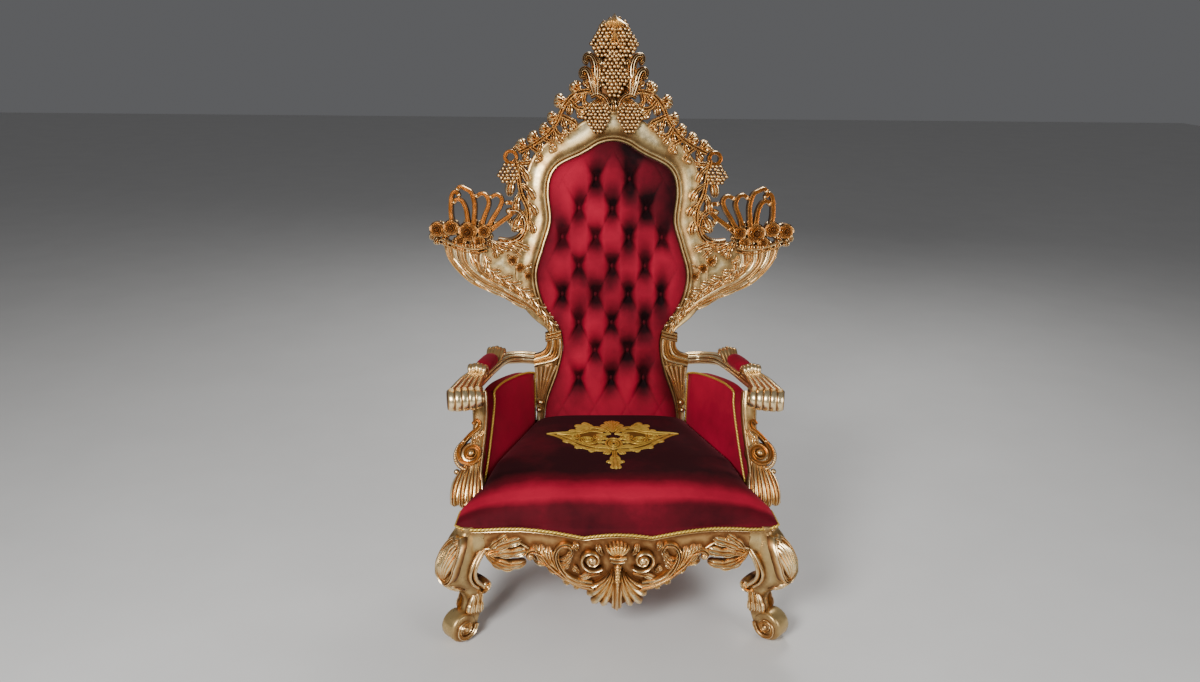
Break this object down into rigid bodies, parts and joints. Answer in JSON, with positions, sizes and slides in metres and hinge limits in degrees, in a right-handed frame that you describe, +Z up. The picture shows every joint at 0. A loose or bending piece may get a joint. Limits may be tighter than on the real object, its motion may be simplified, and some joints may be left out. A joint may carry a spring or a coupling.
{
  "type": "carved throne chair",
  "caption": "High-backed carved and gilded throne with winged, pierced cresting, scrolled arms and legs, and deep-buttoned crimson velvet upholstery.",
  "frame": {"origin": "on the floor, under the middle of the chair's bounding box", "axes": "+Z up, -Y the way the sitter faces, +X to the right of someone looking at the front"},
  "size_m": [1.222, 0.9395, 1.7686],
  "materials": {
    "champagne_gilt": "carved hardwood under gesso and pale champagne leaf, softly burnished",
    "carved_gilt": "carved hardwood under coppery gold leaf, with a dark red-brown glaze left in the recesses",
    "velvet": "short-pile crimson velvet with a soft sheen",
    "gold_braid": "twisted metallic gold thread"
  },
  "bodies": {
    "root": {"back_frame": "champagne_gilt", "back_pad": "velvet", "back_button_01": "velvet", "back_button_02": "velvet", "back_button_03": "velvet", "back_button_04": "velvet", "back_button_05": "velvet", "back_button_06": "velvet", "back_button_07": "velvet", "back_button_08": "velvet", "back_button_09": "velvet", "back_button_10": "velvet", "back_button_11": "velvet", "back_button_12": "velvet", "back_button_13": "velvet", "back_button_14": "velvet", "back_button_15": "velvet", "back_button_16": "velvet", "back_button_17": "velvet", "back_button_18": "velvet", "back_button_19": "velvet", "back_button_20": "velvet", "back_button_21": "velvet", "back_button_22": "velvet", "back_button_23": "velvet", "back_button_24": "velvet", "seat_cushion": "velvet", "front_rail": "carved_gilt", "rear_rail": "champagne_gilt", "side_rail_left": "champagne_gilt", "side_rail_right": "champagne_gilt", "front_leg_left": "carved_gilt", "front_leg_right": "carved_gilt", "rear_leg_left": "champagne_gilt", "rear_leg_right": "champagne_gilt", "arm_left": "carved_gilt", "arm_right": "carved_gilt", "arm_support_left": "carved_gilt", "arm_support_right": "carved_gilt", "arm_pad_left": "velvet", "arm_pad_right": "velvet", "arm_panel_left": "velvet", "arm_panel_right": "velvet"}
  },
  "joints": []
}
